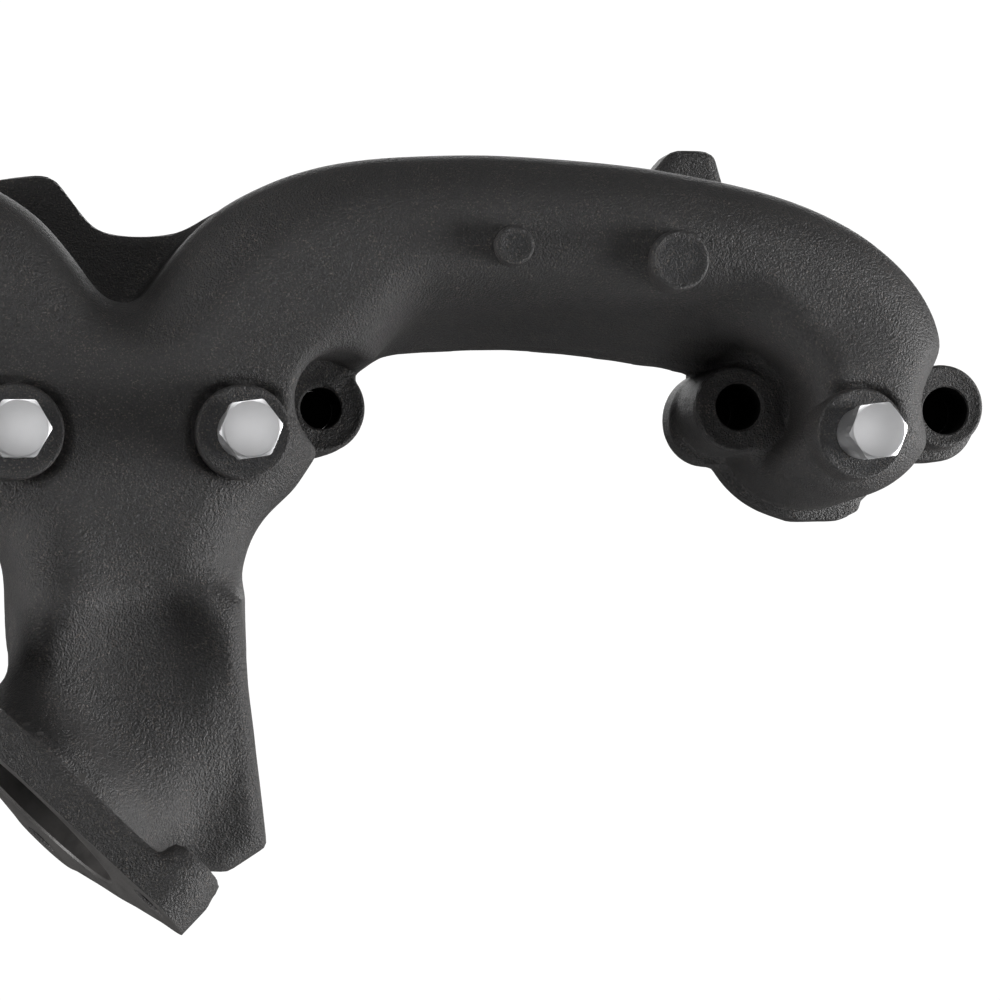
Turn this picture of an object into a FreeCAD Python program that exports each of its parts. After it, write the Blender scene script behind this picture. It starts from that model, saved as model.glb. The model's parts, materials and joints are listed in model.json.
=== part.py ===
"""Exhaust manifold with two swept arms, a shared collector and a three-stud outlet.

Frame: +X runs along the cylinder head, +Z is up, and the gasket face is the plane
y = 0 with the head on its +Y side. The origin is on the gasket face, on the line of
the bolt holes, midway between the two inner ports.
"""
import FreeCAD, Part
import math
import os

V = FreeCAD.Vector

# --- driving dimensions, in millimetres and degrees ---
INNER_BOLT_X = 56.0
MID_BOLT_X = 170.0
OUTER_BOLT_X = 235.0
INNER_BOLT_HOLE_D = 11.2
MID_BOLT_HOLE_D = 12.8
OUTER_BOLT_HOLE_D = 13.4
LUG_RADIUS = 11.8
POCKET_CLEARANCE = 0.6
LUG_DEPTH = 18.0
MID_LUG_DEPTH = 32.0
PAD_DEPTH = 9.0
PAD_LUG_RADIUS = 12.3
PAD_DROP = 2.2

INNER_PORT_X = 28.5
INNER_PORT_SIZE = 33.0
END_PORT_SIZE = 35.0
PORT_CORNER = 8.0
END_PORT_BODY_RADIUS = 29.5
END_CUP_FRONT_RADIUS = 22.5

BODY_FRONT = 60.0
BODY_BACK = 3.0
ARM_STEP = 1.6
ARM_BACK = 6.0
ARM_CREST_Z = 66.9
ARM_HEIGHT = 50.6
WALL = 5.5
FRONT_CORNER = 19.0
BACK_CORNER = 10.0

VALLEY_Z = 23.0
THROAT_WIDTH = 60.0
THROAT_Z = -50.0

OUTLET_X = -24.4
OUTLET_SETBACK = 3.0
OUTLET_Z = -104.7
OUTLET_LEAN = 44.7
OUTLET_TOE_OUT = 5.2
OUTLET_BORE_D = 53.4
STUD_CIRCLE_R = 46.5
STUD_CLOCK = 14.0
STUD_HOLE_D = 9.0
STUD_COUNT = 3
FLANGE_LOBE_R = 10.2
FLANGE_LAND = 6.5
FLANGE_THICKNESS = 10.0
SEAT_STEP = 1.6
LOBE_THICKNESS = 17.0

PLUG_Z = -9.0
INNER_PLUG_X = 29.0
OUTER_PLUG_X = 195.0
PLUG_BOSS_R = 12.2
PLUG_BOSS_PROUD = 2.6
PLUG_SHANK_D = 13.7
PLUG_EXPOSED = 9.6
PLUG_ENGAGED = 10.4
PLUG_LEAD_IN = 1.0
PLUG_HEX_AF = 14.3
PLUG_HEX_THICKNESS = 4.8
PLUG_HEX_CHAMFER = 30.0
PLUG_THREAD_CLEARANCE = 0.05
INNER_PLUG_TURN = 7.7
OUTER_PLUG_TURN = 7.5

SMALL_DISC = (101.0, 40.3, 5.2)
LARGE_DISC = (145.7, 37.0, 8.0)
DISC_PROUD = 2.2

WEB_DEPTH = 8.0
BACK_LUG_DEPTH = 13.0
UNDER_LIP_DEPTH = 10.0
HEEL_PROUD = 2.0
HEEL_BACK = 24.0

# --- sizes that follow from them ---
END_PORT_X = (MID_BOLT_X + OUTER_BOLT_X) / 2
ARM_FRONT = BODY_FRONT - ARM_STEP
HEEL_FRONT = BODY_FRONT + HEEL_PROUD
OUTLET_DEPTH = BODY_FRONT - OUTLET_SETBACK
END_CUP_X = END_PORT_X - 4.5
END_CUP_Z = -1.0
CUP_STEP = 1.5
CUP_CORNER = 16.0
ARM_AXIS_Z = ARM_CREST_Z - ARM_HEIGHT / 2
BOSS_FACE_Y = -(BODY_FRONT + PLUG_BOSS_PROUD)
OVERRUN = 6.0
POCKET_RADIUS = LUG_RADIUS + POCKET_CLEARANCE
PORT_DEPTH = 28.0


def heading(angle):
    """Unit vector in the XZ plane, angle in degrees up from +X."""
    return V(math.cos(math.radians(angle)), 0, math.sin(math.radians(angle)))


def rounded_wire(centre, across, depth, half_across, front, back, front_r, back_r):
    """Closed rounded rectangle; depth points to the front, away from the head."""
    limit = 0.97 * min(half_across, (front - back) / 2)
    rf, rb = min(front_r, limit), min(back_r, limit)

    def at(a, d):
        return centre + across * a + depth * d

    def corner(sa, edge, sd, r):
        """Arc about one corner, from its side edge to its front or back edge."""
        k = r * (1 - math.sqrt(0.5))
        side = at(sa * half_across, edge - sd * r)
        middle = at(sa * (half_across - k), edge - sd * k)
        end = at(sa * (half_across - r), edge)
        return side, middle, end

    fr = corner(1, front, 1, rf)
    fl = corner(-1, front, 1, rf)
    bl = corner(-1, back, -1, rb)
    br = corner(1, back, -1, rb)
    edges = [
        Part.Arc(*fr).toShape(), Part.LineSegment(fr[2], fl[2]).toShape(),
        Part.Arc(*reversed(fl)).toShape(), Part.LineSegment(fl[0], bl[0]).toShape(),
        Part.Arc(*bl).toShape(), Part.LineSegment(bl[2], br[2]).toShape(),
        Part.Arc(*reversed(br)).toShape(), Part.LineSegment(br[0], fr[0]).toShape(),
    ]
    return Part.Wire(edges)


TOWARDS_FRONT = V(0, -1, 0)


def arm_stations():
    """Right arm's sections: x, z, heading, half height, front and back reach."""
    port, axis = END_PORT_X, ARM_AXIS_Z
    deep = (ARM_FRONT, ARM_BACK)
    half = ARM_HEIGHT / 2
    return [
        (INNER_PORT_X + 1.5, -4.0, 80, half - 1) + deep,
        (INNER_PORT_X + 5.5, 12.0, 70, half + 1) + deep,
        (INNER_BOLT_X - 14, axis - 15.0, 54, half + 1.6) + deep,
        (INNER_BOLT_X, axis - 5.1, 31, half + 1.0) + deep,
        (INNER_BOLT_X + 18, axis - 1.1, 14, half + 0.4) + deep,
        (INNER_BOLT_X + 43, axis, 1.6, half) + deep,
        (port - 70, axis - 1.5, -4.5, half) + deep,
        (port - 44, axis - 3.5, -14, half - 2.8) + deep,
        (port - 18, axis - 7.4, -29, half - 5.8) + deep,
        (port - 4.6, axis - 16.6, -53, half - 5.2) + deep,
        (port - 0.5, axis - 31.0, -76, half - 2.5) + deep,
        (port - 1.5, -5.5, -90, half - 2.5) + deep,
    ]


def loft_arm(inset):
    """Right arm, outer surface for inset 0 and the passage for inset WALL."""
    wires = []
    for x, z, angle, half, front, back in arm_stations():
        across = heading(angle + 90)
        wires.append(rounded_wire(V(x, 0, z), across, TOWARDS_FRONT, half - inset,
                                  front - inset, back + inset,
                                  FRONT_CORNER - inset, BACK_CORNER - inset / 2))
    return Part.makeLoft(wires, True, False)


def outlet_axes():
    """Outlet centre, outward normal, and the in-plane axes to the heel and front."""
    lean, toe = math.radians(OUTLET_LEAN), math.radians(OUTLET_TOE_OUT)
    normal = V(-math.cos(lean) * math.cos(toe), -math.sin(toe), -math.sin(lean) * math.cos(toe))
    along = V(math.sin(lean), 0, -math.cos(lean))
    front = normal.cross(along)
    if front.y > 0:
        front = front * -1
    return V(OUTLET_X, -OUTLET_DEPTH, OUTLET_Z), normal, along, front


def loft_collector(inset):
    """Shared body and collector, from above the inner ports down to the outlet."""
    centre, normal, along, front = outlet_axes()
    throat = THROAT_WIDTH / 2
    spread = INNER_PORT_X + INNER_PORT_SIZE / 2 + WALL
    plans = [
        (0.0, VALLEY_Z - inset, 0, spread - 10, BODY_FRONT, BODY_BACK),
        (0.0, 5.0, 0, spread - 4, BODY_FRONT, BODY_BACK),
        (0.0, -14.0, 0, spread + 0.5, BODY_FRONT, BODY_BACK),
        (0.0, -32.0, 0, throat + 6.5, BODY_FRONT, BODY_BACK + 1),
        (0.3, THROAT_Z, 3, throat, BODY_FRONT + 2, BODY_BACK + 4),
        (0.0, THROAT_Z - 17, 12, throat, BODY_FRONT + 8, BODY_BACK + 11),
        (-5.0, THROAT_Z - 33, 27, throat - 1, OUTLET_DEPTH + 22, OUTLET_DEPTH - 34),
    ]
    wires = []
    for x, z, lean, half, reach, back in plans:
        wires.append(rounded_wire(V(x, 0, z), heading(-lean), TOWARDS_FRONT, half - inset,
                                  reach - inset, back + inset,
                                  FRONT_CORNER + 4 - inset, BACK_CORNER + 6 - inset))
    neck = OUTLET_BORE_D / 2 - SEAT_STEP + WALL - inset
    start = centre - normal * (FLANGE_THICKNESS / 2)
    wires.append(rounded_wire(start, along, front, neck, neck, -neck, neck, neck))
    return Part.makeLoft(wires, True, False)


def prism(points, front, back):
    """Solid between two depths from a closed outline of (x, z) corners."""
    corners = [V(x, -back, z) for x, z in points]
    face = Part.Face(Part.makePolygon(corners + corners[:1]))
    return face.extrude(V(0, back - front, 0))


def rod(x, z, radius, front, back=0.0):
    """Cylinder along Y at (x, z), from one depth to another."""
    return Part.makeCylinder(radius, front - back, V(x, -back, z), TOWARDS_FRONT)


def hull(circles, front, back):
    """Plate between depths: circles (x, z, r) joined in order by outer tangents."""
    plates = [rod(x, z, r, front, back) for x, z, r in circles]
    for (x0, z0, r0), (x1, z1, r1) in zip(circles, circles[1:]):
        gap = math.hypot(x1 - x0, z1 - z0)
        base = math.atan2(z1 - z0, x1 - x0)
        tilt = math.acos((r0 - r1) / gap)
        quad = []
        for x, z, r, angles in ((x0, z0, r0, (tilt, -tilt)), (x1, z1, r1, (-tilt, tilt))):
            for a in angles:
                quad.append((x + r * math.cos(base + a), z + r * math.sin(base + a)))
        plates.append(prism(quad, front, back))
    return plates[0].multiFuse(plates[1:]).removeSplitter()


def end_cup(inset):
    """Round closed bottom of an arm, over its port; inset as in loft_arm."""
    front = ARM_FRONT - CUP_STEP - inset
    cup = Part.makeCone(END_PORT_BODY_RADIUS - inset, END_CUP_FRONT_RADIUS - inset,
                        front - inset, V(END_CUP_X, -inset, END_CUP_Z), TOWARDS_FRONT)
    rim = [e for e in cup.Edges if abs(e.BoundBox.YMax + front) < 0.01]
    return cup.makeFillet(CUP_CORNER - inset, rim[:1])


def end_pad():
    """Flange of an end port: two lugs on a bar across the round port body."""
    return hull([(MID_BOLT_X, -PAD_DROP, PAD_LUG_RADIUS),
                 (OUTER_BOLT_X, -PAD_DROP / 2, PAD_LUG_RADIUS)], PAD_DEPTH, 0)


def inner_pad():
    """Flange of the two inner ports, with a lug at each end."""
    return hull([(-INNER_BOLT_X, 0, LUG_RADIUS), (-INNER_PORT_X, 0, INNER_PORT_SIZE / 2 + 6),
                 (INNER_PORT_X, 0, INNER_PORT_SIZE / 2 + 6), (INNER_BOLT_X, 0, LUG_RADIUS)],
                PAD_DEPTH, 0)


def mirrored(shape):
    """Copy on the other side of the centre plane."""
    return shape.mirror(V(0, 0, 0), V(1, 0, 0))


def side_features():
    """Right half's lugs, plug bosses, raised discs, back lug and under lip."""
    crest, low = ARM_CREST_Z, ARM_CREST_Z - ARM_HEIGHT
    back_lug = prism([(MID_BOLT_X - 23.5, crest - 22), (MID_BOLT_X - 19, crest),
                      (MID_BOLT_X - 14.5, crest + 4.4), (MID_BOLT_X - 5.5, crest + 4.4),
                      (MID_BOLT_X - 1.5, crest + 2.5), (MID_BOLT_X + 1.2, crest - 5),
                      (MID_BOLT_X + 3, crest - 22)], BACK_LUG_DEPTH + 3, 3)
    lip = prism([(INNER_BOLT_X + 8, low - 4), (INNER_BOLT_X + 24, low - 0.2),
                 (INNER_BOLT_X + 50, low + 1.4), (MID_BOLT_X - 32, low - 0.4),
                 (MID_BOLT_X - 14, low - 4), (MID_BOLT_X + 2, low - 7),
                 (MID_BOLT_X + 2, low + 8), (MID_BOLT_X - 8, low + 8),
                 (INNER_BOLT_X + 50, low + 16), (INNER_BOLT_X + 8, low + 8)],
                UNDER_LIP_DEPTH + 3, 3)
    parts = [
        rod(INNER_BOLT_X, 0, LUG_RADIUS, LUG_DEPTH),
        rod(MID_BOLT_X, 0, LUG_RADIUS, MID_LUG_DEPTH),
        rod(OUTER_BOLT_X, 0, LUG_RADIUS, LUG_DEPTH),
        rod(INNER_PLUG_X, PLUG_Z, PLUG_BOSS_R, -BOSS_FACE_Y, BODY_FRONT - WALL + 1),
        rod(OUTER_PLUG_X, PLUG_Z, PLUG_BOSS_R, -BOSS_FACE_Y, ARM_FRONT - WALL + 1),
        back_lug,
        lip,
    ]
    for x, z, radius in (SMALL_DISC, LARGE_DISC):
        parts.append(rod(x, z, radius, ARM_FRONT + DISC_PROUD, ARM_FRONT - 3))
    return parts


def rear_web():
    """Upright web that closes the back of the valley, with a lug at its left."""
    points = [(-40, 30), (-36, 60), (-30, 62), (-18, 63.4), (-14.5, 62.4), (-6, 50.5),
              (-2, 47.6), (4, 46.9), (12, 47), (20, 48.5), (28, 53), (38, 58), (44, 36),
              (0, 12)]
    return prism(points, WEB_DEPTH + 3, 3)


def heel():
    """Solid gusset at the collector's lower right, with a flat foot."""
    points = [(8, -52), (26.5, -49), (28.6, -57), (29.5, -66), (30.7, -78), (32.2, -98),
              (34.4, -115.5), (26, -120.5), (14, -117), (2, -100)]
    return prism(points, HEEL_FRONT, HEEL_BACK)


def flange_hull():
    """Outlet flange plate: three stud lobes round the bore."""
    centre, normal, along, front = outlet_axes()
    disc_r = OUTLET_BORE_D / 2 + FLANGE_LAND
    lobes = [centre + (along * math.cos(a) + front * math.sin(a)) * STUD_CIRCLE_R
             for a in stud_angles()]
    into = normal * -FLANGE_THICKNESS
    plates = [Part.makeCylinder(disc_r, FLANGE_THICKNESS, centre, normal * -1)]
    for i, lobe in enumerate(lobes):
        plates.append(Part.makeCylinder(FLANGE_LOBE_R, LOBE_THICKNESS, lobe, normal * -1))
        following = lobes[(i + 1) % STUD_COUNT]
        out = (following - lobe).cross(normal).normalize() * FLANGE_LOBE_R
        if out.dot(lobe - centre) < 0:
            out = out * -1
        corners = [centre, lobe, lobe + out, following + out, following]
        face = Part.Face(Part.makePolygon(corners + corners[:1]))
        plates.append(face.extrude(into))
    return plates[0].multiFuse(plates[1:]).removeSplitter()


def stud_angles():
    """Stud places round the outlet, in radians from the heel direction."""
    return [math.radians(30 + STUD_CLOCK + i * 360 / STUD_COUNT) for i in range(STUD_COUNT)]


def rounded_port(x, size, depth):
    """Straight square passage with round corners, in from the gasket face."""
    box = Part.makeBox(size, depth + OVERRUN, size, V(x - size / 2, -depth, -size / 2))
    corners = [e for e in box.Edges if abs(e.BoundBox.YLength - depth - OVERRUN) < 0.01]
    return box.makeFillet(PORT_CORNER, corners)


def passages():
    """Hollow that joins the four ports to the outlet, clear of every bolt and pocket."""
    centre, normal, along, front = outlet_axes()
    hollows = [loft_collector(WALL)]
    for hollow in (loft_arm(WALL), end_cup(WALL)):
        hollows += [hollow, mirrored(hollow)]
    hollow = hollows[0].multiFuse(hollows[1:])
    keep = []
    for x, d, depth in bolt_places():
        keep.append(rod(x, 0, d / 2 + WALL - 1, depth + 1, -OVERRUN))
        keep.append(rod(x, 0, POCKET_RADIUS + WALL - 1, BODY_FRONT + OVERRUN, depth - WALL))
    mouths = [rounded_port(side * x, size, PORT_DEPTH) for side in (-1, 1)
              for x, size in ((INNER_PORT_X, INNER_PORT_SIZE), (END_PORT_X, END_PORT_SIZE))]
    mouths.append(Part.makeCylinder(OUTLET_BORE_D / 2, FLANGE_THICKNESS + OVERRUN + 2,
                                    centre + normal * OVERRUN, normal * -1))
    return hollow.multiFuse(mouths).cut(keep)


def bolt_places():
    """Every head bolt on both sides: x, hole diameter and lug depth."""
    rows = ((INNER_BOLT_X, INNER_BOLT_HOLE_D, LUG_DEPTH),
            (MID_BOLT_X, MID_BOLT_HOLE_D, MID_LUG_DEPTH),
            (OUTER_BOLT_X, OUTER_BOLT_HOLE_D, LUG_DEPTH))
    return [(side * x, d, depth) for side in (-1, 1) for x, d, depth in rows]


def drillings():
    """Bolt holes, stud holes and the plugs' threaded holes."""
    centre, normal, along, front = outlet_axes()
    tools = [rod(x, 0, d / 2, BODY_FRONT, -OVERRUN) for x, d, depth in bolt_places()]
    for a in stud_angles():
        spot = centre + (along * math.cos(a) + front * math.sin(a)) * STUD_CIRCLE_R
        tools.append(Part.makeCylinder(STUD_HOLE_D / 2, LOBE_THICKNESS + OVERRUN,
                                       spot + normal, normal * -1))
    for x in (INNER_PLUG_X, OUTER_PLUG_X):
        hole = rod(x, PLUG_Z, PLUG_SHANK_D / 2 + PLUG_THREAD_CLEARANCE,
                   BODY_FRONT + OVERRUN, BODY_FRONT - 2 * WALL)
        tools += [hole, mirrored(hole)]
    return tools


def casting():
    """The one iron casting, hollow from its four ports to its outlet."""
    right, cup, pad = loft_arm(0), end_cup(0), end_pad()
    body = loft_collector(0).multiFuse([right, mirrored(right), cup, mirrored(cup)])
    body = body.cut([rod(x, 0, POCKET_RADIUS, BODY_FRONT + OVERRUN, depth)
                     for x, d, depth in bolt_places()])
    solids = [pad, mirrored(pad), inner_pad(), rear_web(), heel(), flange_hull()]
    for feature in side_features():
        solids += [feature, mirrored(feature)]
    return body.multiFuse(solids).cut(passages()).cut(drillings())


def plug(x, turn):
    """Square-ended pipe plug with a thin hexagon head, on its axis at x."""
    seat = BOSS_FACE_Y
    radius = PLUG_SHANK_D / 2
    inner_end = seat + PLUG_ENGAGED
    shank = Part.makeCylinder(radius, PLUG_ENGAGED + PLUG_EXPOSED, V(x, inner_end, PLUG_Z),
                              TOWARDS_FRONT)
    end_edge = [e for e in shank.Edges if abs(e.BoundBox.YMin - inner_end) < 0.01]
    shank = shank.makeChamfer(PLUG_LEAD_IN, end_edge[:1])
    head_y = seat - PLUG_EXPOSED
    corner_r = PLUG_HEX_AF / math.sqrt(3)
    corners = [V(x, head_y, PLUG_Z) + heading(60 * i + turn) * corner_r for i in range(7)]
    hexagon = Part.Face(Part.makePolygon(corners)).extrude(TOWARDS_FRONT * PLUG_HEX_THICKNESS)
    rise = math.tan(math.radians(PLUG_HEX_CHAMFER))
    cone_r = PLUG_HEX_AF / 2 + PLUG_HEX_THICKNESS / rise
    cone = Part.makeCone(cone_r, PLUG_HEX_AF / 2, PLUG_HEX_THICKNESS, V(x, head_y, PLUG_Z),
                         TOWARDS_FRONT)
    return shank.fuse(hexagon.common(cone)).removeSplitter()


def export(name, shape):
    """Write one node as STEP."""
    if not shape.isValid() or len(shape.Solids) != 1:
        print("check", name, shape.isValid(), len(shape.Solids))
    shape.Solids[0].exportStep("parts/%s.step" % name)
    box = shape.BoundBox
    print("%-24s volume %9.0f  x %7.1f %7.1f  y %6.1f %6.1f  z %6.1f %6.1f" % (
        name, shape.Volume, box.XMin, box.XMax, box.YMin, box.YMax, box.ZMin, box.ZMax))


os.makedirs("parts", exist_ok=True)
export("manifold_casting", casting())
for place, x, turn in (("left_outer", -OUTER_PLUG_X, -OUTER_PLUG_TURN),
                       ("left_inner", -INNER_PLUG_X, 0.0),
                       ("right_inner", INNER_PLUG_X, INNER_PLUG_TURN),
                       ("right_outer", OUTER_PLUG_X, OUTER_PLUG_TURN)):
    export("port_plug_" + place, plug(x, turn))
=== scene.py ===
"""Dressed model of the exhaust manifold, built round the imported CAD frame.

The casting is a smooth, blended sand-cast form in millimetres, turned into one closed
mesh, drilled and faced. The four pipe plugs are turned and milled pieces of their own.
Depth is measured from the gasket face towards the front, so depth = -y.
"""

import json
import logging
import math
from dataclasses import dataclass, field
from enum import Enum
from typing import Callable, Mapping, Optional, Sequence, Union

import bpy
import numpy as np
from mathutils import Matrix, Vector

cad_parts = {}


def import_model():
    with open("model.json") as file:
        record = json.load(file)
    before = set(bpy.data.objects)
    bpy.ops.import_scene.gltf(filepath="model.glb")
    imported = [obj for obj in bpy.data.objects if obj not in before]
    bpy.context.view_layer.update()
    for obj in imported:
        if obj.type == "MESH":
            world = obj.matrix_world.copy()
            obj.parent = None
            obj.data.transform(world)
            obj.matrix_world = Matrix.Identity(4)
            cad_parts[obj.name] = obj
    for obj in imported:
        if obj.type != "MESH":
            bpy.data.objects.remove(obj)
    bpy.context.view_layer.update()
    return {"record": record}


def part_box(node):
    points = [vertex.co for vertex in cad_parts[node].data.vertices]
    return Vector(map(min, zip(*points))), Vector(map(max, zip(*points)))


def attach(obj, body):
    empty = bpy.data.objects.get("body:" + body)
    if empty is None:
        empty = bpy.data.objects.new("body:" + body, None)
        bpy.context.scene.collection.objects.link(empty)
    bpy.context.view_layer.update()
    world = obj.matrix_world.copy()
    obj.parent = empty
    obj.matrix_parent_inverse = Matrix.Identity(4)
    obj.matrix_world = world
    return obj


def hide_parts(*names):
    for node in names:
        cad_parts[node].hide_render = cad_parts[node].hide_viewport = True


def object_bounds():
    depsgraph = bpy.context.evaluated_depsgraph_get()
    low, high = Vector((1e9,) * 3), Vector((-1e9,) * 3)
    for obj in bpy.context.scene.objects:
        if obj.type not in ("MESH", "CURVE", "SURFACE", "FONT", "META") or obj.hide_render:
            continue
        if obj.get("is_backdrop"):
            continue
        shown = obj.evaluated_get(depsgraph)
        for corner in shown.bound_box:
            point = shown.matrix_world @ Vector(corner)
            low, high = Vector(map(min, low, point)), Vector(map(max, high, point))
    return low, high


log = logging.getLogger("exhaust_manifold")
MM = 0.001
Points = Sequence[tuple[float, float]]
Array = np.ndarray
Inputs = Mapping[Union[str, int], object]
Level = Union[float, Array]
Piece = bpy.types.Object
Socket = bpy.types.NodeSocket
Shape = tuple[list[Vector], list[list[int]]]
TO_FRONT = Vector((0.0, -1.0, 0.0))
TO_HEAD = Vector((0.0, 1.0, 0.0))


# --- shader kit
class Signal:
    """A number on a shader socket; arithmetic on it adds Math nodes."""

    def __init__(self, bench: "ShaderBench", socket: Socket) -> None:
        """Wrap one output socket of a bench's tree."""
        self.bench = bench
        self.socket = socket

    def _math(self, operation: str, *values: "Number") -> "Signal":
        """Add one Math node for an operation and its operands in order."""
        return self.bench.number("ShaderNodeMath", dict(enumerate(values)),
                                 operation=operation)

    def _operator(operation: str, reflected: bool = False) -> Callable[..., "Signal"]:
        """Make the method behind one arithmetic sign.

        Args:
            operation: Blender's name of the operation.
            reflected: the signal stands right of the sign.

        Returns:
            The method.
        """
        def combine(self: "Signal", other: "Number") -> "Signal":
            """Combine with another value."""
            return self._math(operation, *((other, self) if reflected else (self, other)))
        return combine

    __add__, __radd__ = _operator("ADD"), _operator("ADD", True)
    __sub__, __rsub__ = _operator("SUBTRACT"), _operator("SUBTRACT", True)
    __mul__, __rmul__ = _operator("MULTIPLY"), _operator("MULTIPLY", True)
    __truediv__, __rtruediv__ = _operator("DIVIDE"), _operator("DIVIDE", True)

    def sine(self) -> "Signal":
        """Sine of the value in radians."""
        return self._math("SINE", self)

    def step_between(self, low: float, high: float) -> "Signal":
        """Smooth step from 0 at low to 1 at high.

        Args:
            low, high: where the step starts and ends.

        Returns:
            The stepped value.
        """
        return self.bench.number("ShaderNodeMapRange",
                                 {"Value": self, "From Min": low, "From Max": high},
                                 interpolation_type="SMOOTHSTEP")


Number = Union[Signal, float]
Colour = tuple[float, float, float]


class ShaderBench:
    """Builds the node tree of one material or of the world."""

    def __init__(self, name: str, world: bool = False) -> None:
        """Start an empty tree.

        Args:
            name: the material's or world's name.
            world: make a world and not a material.
        """
        family = bpy.data.worlds if world else bpy.data.materials
        self.owner = family.new(name)
        self.owner.use_nodes = True
        self.tree = self.owner.node_tree
        self.tree.nodes.clear()

    def node(self, kind: str, inputs: Inputs, **settings: object) -> bpy.types.Node:
        """Add a node of any type.

        Args:
            kind: the node's type.
            inputs: a value or a link for each named or numbered socket.
            settings: the node's properties, which are set first.

        Returns:
            The node.
        """
        made = self.tree.nodes.new(kind)
        for key, value in settings.items():
            setattr(made, key, value)
        for key, value in inputs.items():
            socket, value = made.inputs[key], getattr(value, "socket", value)
            if isinstance(value, Socket):
                self.tree.links.new(value, socket)
            else:
                socket.default_value = (*value, 1.0) if socket.type == "RGBA" else value
        return made

    def number(self, kind: str, inputs: Inputs, **settings: object) -> Signal:
        """Add a node and take its first output as a number."""
        return Signal(self, self.node(kind, inputs, **settings).outputs[0])

    def place(self, origin: Vector = Vector()) -> Socket:
        """Position in the row frame, in metres, from an origin.

        Args:
            origin: the point taken as zero.

        Returns:
            A vector socket.
        """
        coordinates = self.node("ShaderNodeTexCoord", {}).outputs["Object"]
        return self.node("ShaderNodeVectorMath", {0: coordinates, 1: tuple(origin)},
                         operation="SUBTRACT").outputs[0]

    def noise(self, where: Socket, size_mm: float, detail: float = 2.0,
              roughness: float = 0.5) -> Signal:
        """Noise, about 0.5 on average.

        Args:
            where: the position.
            size_mm: size of the features.
            detail: octaves of finer noise.
            roughness: strength of each finer octave.

        Returns:
            The noise.
        """
        return self.number("ShaderNodeTexNoise", {
            "Vector": where, "Scale": 1.0 / (size_mm * MM), "Detail": detail,
            "Roughness": roughness})

    def blend(self, amount: Number, first: object, second: object) -> Socket:
        """Mix two colours or links: amount 0 gives the first and 1 the second."""
        return self.node("ShaderNodeMix", {"Factor": amount, 6: first, 7: second},
                         data_type="RGBA").outputs[2]

    def bump(self, height: Signal, depth_mm: float, strength: float,
             normal: Optional[Socket] = None) -> Socket:
        """Bump the surface by a height.

        Args:
            height: the height, 0 to 1.
            depth_mm: what a height of 1 stands for.
            strength: share of the bump that is used.
            normal: an earlier bump to add to.

        Returns:
            The bumped normal's socket.
        """
        inputs = {"Height": height, "Distance": depth_mm * MM, "Strength": strength}
        if normal is not None:
            inputs["Normal"] = normal
        return self.node("ShaderNodeBump", inputs).outputs["Normal"]

    def finish(self, **sockets: object) -> bpy.types.Material:
        """Close the tree with a Principled shader.

        Args:
            sockets: the shader's values and links, with _ for a space.

        Returns:
            The material.
        """
        inputs = {key.replace("_", " "): value for key, value in sockets.items()}
        shader = self.node("ShaderNodeBsdfPrincipled", inputs)
        self.node("ShaderNodeOutputMaterial", {"Surface": shader.outputs[0]})
        return self.owner


# --- finishes
@dataclass(frozen=True)
class CoatedIronFinish:
    """Sand-cast iron under a dark matt coating, with paler flecks and scuffs."""

    name: str = "coated_sand_cast_iron"
    coat: Colour = (0.0078, 0.0075, 0.0078)
    coat_light: Colour = (0.0215, 0.0202, 0.0204)
    fleck: Colour = (0.100, 0.083, 0.071)
    grain_mm: float = 0.52
    cloud_mm: float = 19.0
    patch_mm: float = 7.5
    fleck_mm: float = 0.50
    relief: float = 1.0
    roughness: float = 0.50
    shine: float = 0.5

    def material(self) -> bpy.types.Material:
        """Make the dark coated iron.

        Returns:
            The material.
        """
        bench = ShaderBench(self.name)
        where = bench.place()
        grain = bench.noise(where, self.grain_mm, 2.5, 0.62)
        pebble = bench.noise(where, self.grain_mm * 2.6, 1.5)
        cloud = bench.noise(where, self.cloud_mm, 3.0, 0.55)
        patch = bench.noise(where, self.patch_mm, 2.0)
        flecks = bench.noise(where, self.fleck_mm, 1.0).step_between(0.58, 0.70)
        flecks = flecks * (patch.step_between(0.30, 0.66) * 0.7 + 0.3)
        tone = cloud * 0.4 + grain.step_between(0.32, 0.68) * 0.9 - 0.15
        coat = bench.blend(tone, self.coat, self.coat_light)
        colour = bench.blend(flecks * 0.8, coat, self.fleck)
        roughness = grain * 0.24 + cloud * 0.10 + (self.roughness - 0.17)
        normal = bench.bump(pebble, 0.28 * self.relief, 1.0)
        normal = bench.bump(grain, 0.60 * self.relief, 1.0, normal)
        return bench.finish(Base_Color=colour, Roughness=roughness, Normal=normal,
                            Specular_IOR_Level=self.shine)


BOSS_FACE = CoatedIronFinish("coated_boss_face", (0.0060, 0.0062, 0.0070),
                             (0.0150, 0.0150, 0.0165), relief=0.8)
# Bolt-hole walls: a near-black copy of the coating, painted shade standing in for the dark
# inside the holes.
PAINTED_HOLE_SHADE = CoatedIronFinish("painted_hole_shade", (0.0016, 0.0016, 0.0018), (0.0035, 0.0034, 0.0034),
                           (0.006, 0.005, 0.005), relief=0.2, roughness=0.9, shine=0.1)


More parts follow.
